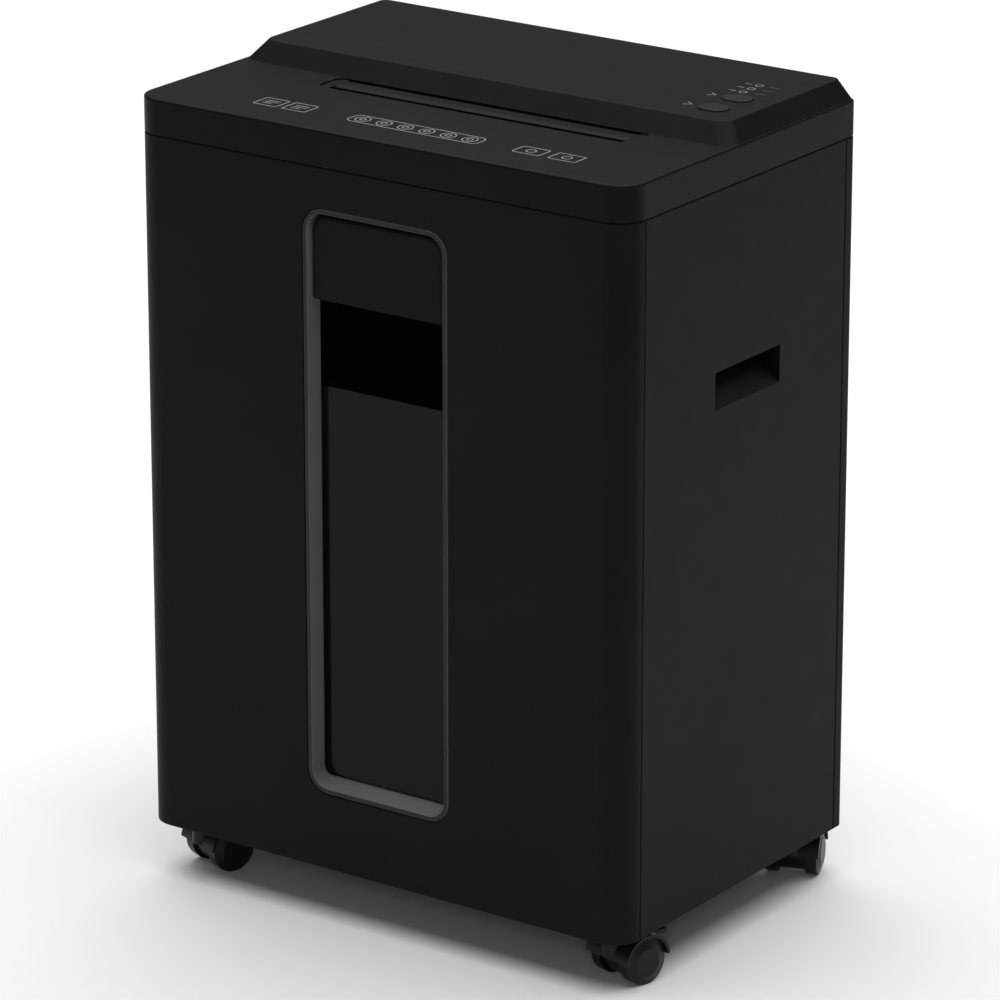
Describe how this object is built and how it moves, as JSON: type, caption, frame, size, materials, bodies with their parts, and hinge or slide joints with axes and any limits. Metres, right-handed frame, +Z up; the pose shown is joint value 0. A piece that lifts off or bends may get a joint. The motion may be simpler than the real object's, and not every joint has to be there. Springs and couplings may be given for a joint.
{
  "type": "paper shredder",
  "caption": "Upright paper shredder on twin-wheel casters, with a top slot, raised control housing and a pull-out bin with a tall smoked window.",
  "frame": {"origin": "on the floor, below the middle of the cabinet", "axes": "+X to the right as the user faces the front, +Y to the back, +Z up"},
  "size_m": [0.3709, 0.2658, 0.5308],
  "materials": {
    "shell": "fine-textured matte black",
    "inner_plastic": "plain black moulding",
    "caster_plastic": "semi-gloss black nylon",
    "smoked_pane": "polished smoked acrylic",
    "lens": "frosted clear",
    "steel": "zinc-plated and ground",
    "motor_can": "satin",
    "bronze": "sintered bronze",
    "gear_plastic": "natural nylon",
    "board": "green solder mask"
  },
  "bodies": {
    "cabinet": {"side_panel_right": "shell", "side_panel_left": "shell", "back_panel": "shell", "base_plate": "shell", "guide_rail_right": "steel", "guide_rail_left": "steel", "chassis_tray": "steel", "head_baffle": "steel", "head_cover": "shell", "throat_guide": "inner_plastic", "indicator_lenses": "lens", "control_board": "board", "cutter_plate_left": "steel", "cutter_plate_right": "steel", "cutter_tie_rods": "steel", "cutter_bushes": "bronze", "stripper_comb_front": "inner_plastic", "stripper_comb_rear": "inner_plastic", "intermediate_axle": "steel", "gearbox_cover": "inner_plastic", "motor_housing": "motor_can", "motor_capacitor": "inner_plastic", "power_inlet": "inner_plastic", "interlock_switch": "inner_plastic", "cabinet_screws": "steel", "caster_stems": "steel"},
    "bin": {"bin_front": "shell", "window_bezel": "shell", "window_pane": "smoked_pane", "grip_plate": "shell", "grip_cup": "shell", "bin_bucket": "inner_plastic", "bin_screws": "steel", "interlock_tab": "inner_plastic"},
    "start_key": {"button_start": "shell"},
    "reverse_key": {"button_reverse": "shell"},
    "rocker": {"mains_rocker": "inner_plastic"},
    "rear_roller": {"cutter_roller_rear": "steel", "sync_gear_rear": "steel", "output_gear": "steel"},
    "front_roller": {"cutter_roller_front": "steel", "sync_gear_front": "steel"},
    "double_gear": {"intermediate_gear": "gear_plastic"},
    "rotor": {"motor_rotor": "steel"},
    "swivel_front_left": {"caster_hood_front_left": "caster_plastic"},
    "wheels_front_left": {"caster_wheels_front_left": "caster_plastic"},
    "swivel_front_right": {"caster_hood_front_right": "caster_plastic"},
    "wheels_front_right": {"caster_wheels_front_right": "caster_plastic"},
    "swivel_rear_left": {"caster_hood_rear_left": "caster_plastic"},
    "wheels_rear_left": {"caster_wheels_rear_left": "caster_plastic"},
    "swivel_rear_right": {"caster_hood_rear_right": "caster_plastic"},
    "wheels_rear_right": {"caster_wheels_rear_right": "caster_plastic"},
    "pedal_front_left": {"caster_brake_front_left": "caster_plastic"},
    "pedal_front_right": {"caster_brake_front_right": "caster_plastic"}
  },
  "joints": [
    {"name": "bin_slide", "type": "slide", "parent": "cabinet", "child": "bin", "axis": [0, -1, 0], "range_m": [0, 0.215]},
    {"name": "start_press", "type": "slide", "parent": "cabinet", "child": "start_key", "axis": [0, 0, -1], "range_m": [0, 0.0012], "stiffness_N_per_m": 900, "springref_m": -0.001},
    {"name": "reverse_press", "type": "slide", "parent": "cabinet", "child": "reverse_key", "axis": [0, 0, -1], "range_m": [0, 0.0012], "stiffness_N_per_m": 900, "springref_m": -0.001},
    {"name": "mains_switch", "type": "hinge", "parent": "cabinet", "child": "rocker", "pos_m": [0.114, 0.1175, 0.448], "axis": [1, 0, 0], "range_deg": [0, 22]},
    {"name": "rear_roller_spin", "type": "hinge", "parent": "cabinet", "child": "rear_roller", "pos_m": [0, -0.0235, 0.456], "axis": [1, 0, 0], "continuous": true},
    {"name": "front_roller_spin", "type": "hinge", "parent": "cabinet", "child": "front_roller", "pos_m": [0, -0.0515, 0.456], "axis": [1, 0, 0], "continuous": true},
    {"name": "double_gear_spin", "type": "hinge", "parent": "cabinet", "child": "double_gear", "pos_m": [0, 0.0215, 0.456], "axis": [1, 0, 0], "continuous": true},
    {"name": "rotor_spin", "type": "hinge", "parent": "cabinet", "child": "rotor", "pos_m": [0, 0.0545, 0.456], "axis": [1, 0, 0], "continuous": true},
    {"name": "swivel_turn_front_left", "type": "hinge", "parent": "cabinet", "child": "swivel_front_left", "pos_m": [-0.16, -0.1, 0], "axis": [0, 0, 1], "continuous": true},
    {"name": "wheel_roll_front_left", "type": "hinge", "parent": "swivel_front_left", "child": "wheels_front_left", "pos_m": [-0.15555, -0.08778, 0.015], "axis": [0.9397, -0.342, 0], "continuous": true},
    {"name": "swivel_turn_front_right", "type": "hinge", "parent": "cabinet", "child": "swivel_front_right", "pos_m": [0.16, -0.1, 0], "axis": [0, 0, 1], "continuous": true},
    {"name": "wheel_roll_front_right", "type": "hinge", "parent": "swivel_front_right", "child": "wheels_front_right", "pos_m": [0.16315, -0.08739, 0.015], "axis": [0.9703, -0.2419, 0], "continuous": true},
    {"name": "swivel_turn_rear_left", "type": "hinge", "parent": "cabinet", "child": "swivel_rear_left", "pos_m": [-0.16, 0.104, 0], "axis": [0, 0, 1], "continuous": true},
    {"name": "wheel_roll_rear_left", "type": "hinge", "parent": "swivel_rear_left", "child": "wheels_rear_left", "pos_m": [-0.14852, 0.1101, 0.015], "axis": [0.4695, -0.8829, 0], "continuous": true},
    {"name": "swivel_turn_rear_right", "type": "hinge", "parent": "cabinet", "child": "swivel_rear_right", "pos_m": [0.16, 0.104, 0], "axis": [0, 0, 1], "continuous": true},
    {"name": "wheel_roll_rear_right", "type": "hinge", "parent": "swivel_rear_right", "child": "wheels_rear_right", "pos_m": [0.15513, 0.11605, 0.015], "axis": [0.9272, 0.3746, 0], "continuous": true},
    {"name": "brake_press_front_left", "type": "hinge", "parent": "swivel_front_left", "child": "pedal_front_left", "pos_m": [-0.15144, -0.07649, 0.02702], "axis": [0.9397, -0.342, 0], "range_deg": [-15, 0]},
    {"name": "brake_press_front_right", "type": "hinge", "parent": "swivel_front_right", "child": "pedal_front_right", "pos_m": [0.16605, -0.07572, 0.02702], "axis": [0.9703, -0.2419, 0], "range_deg": [-15, 0]}
  ],
  "couplings": [
    {"joint": "front_roller_spin", "follows": "rear_roller_spin", "ratio": -1},
    {"joint": "double_gear_spin", "follows": "rear_roller_spin", "ratio": -3.2857},
    {"joint": "rotor_spin", "follows": "rear_roller_spin", "ratio": 14.786}
  ]
}
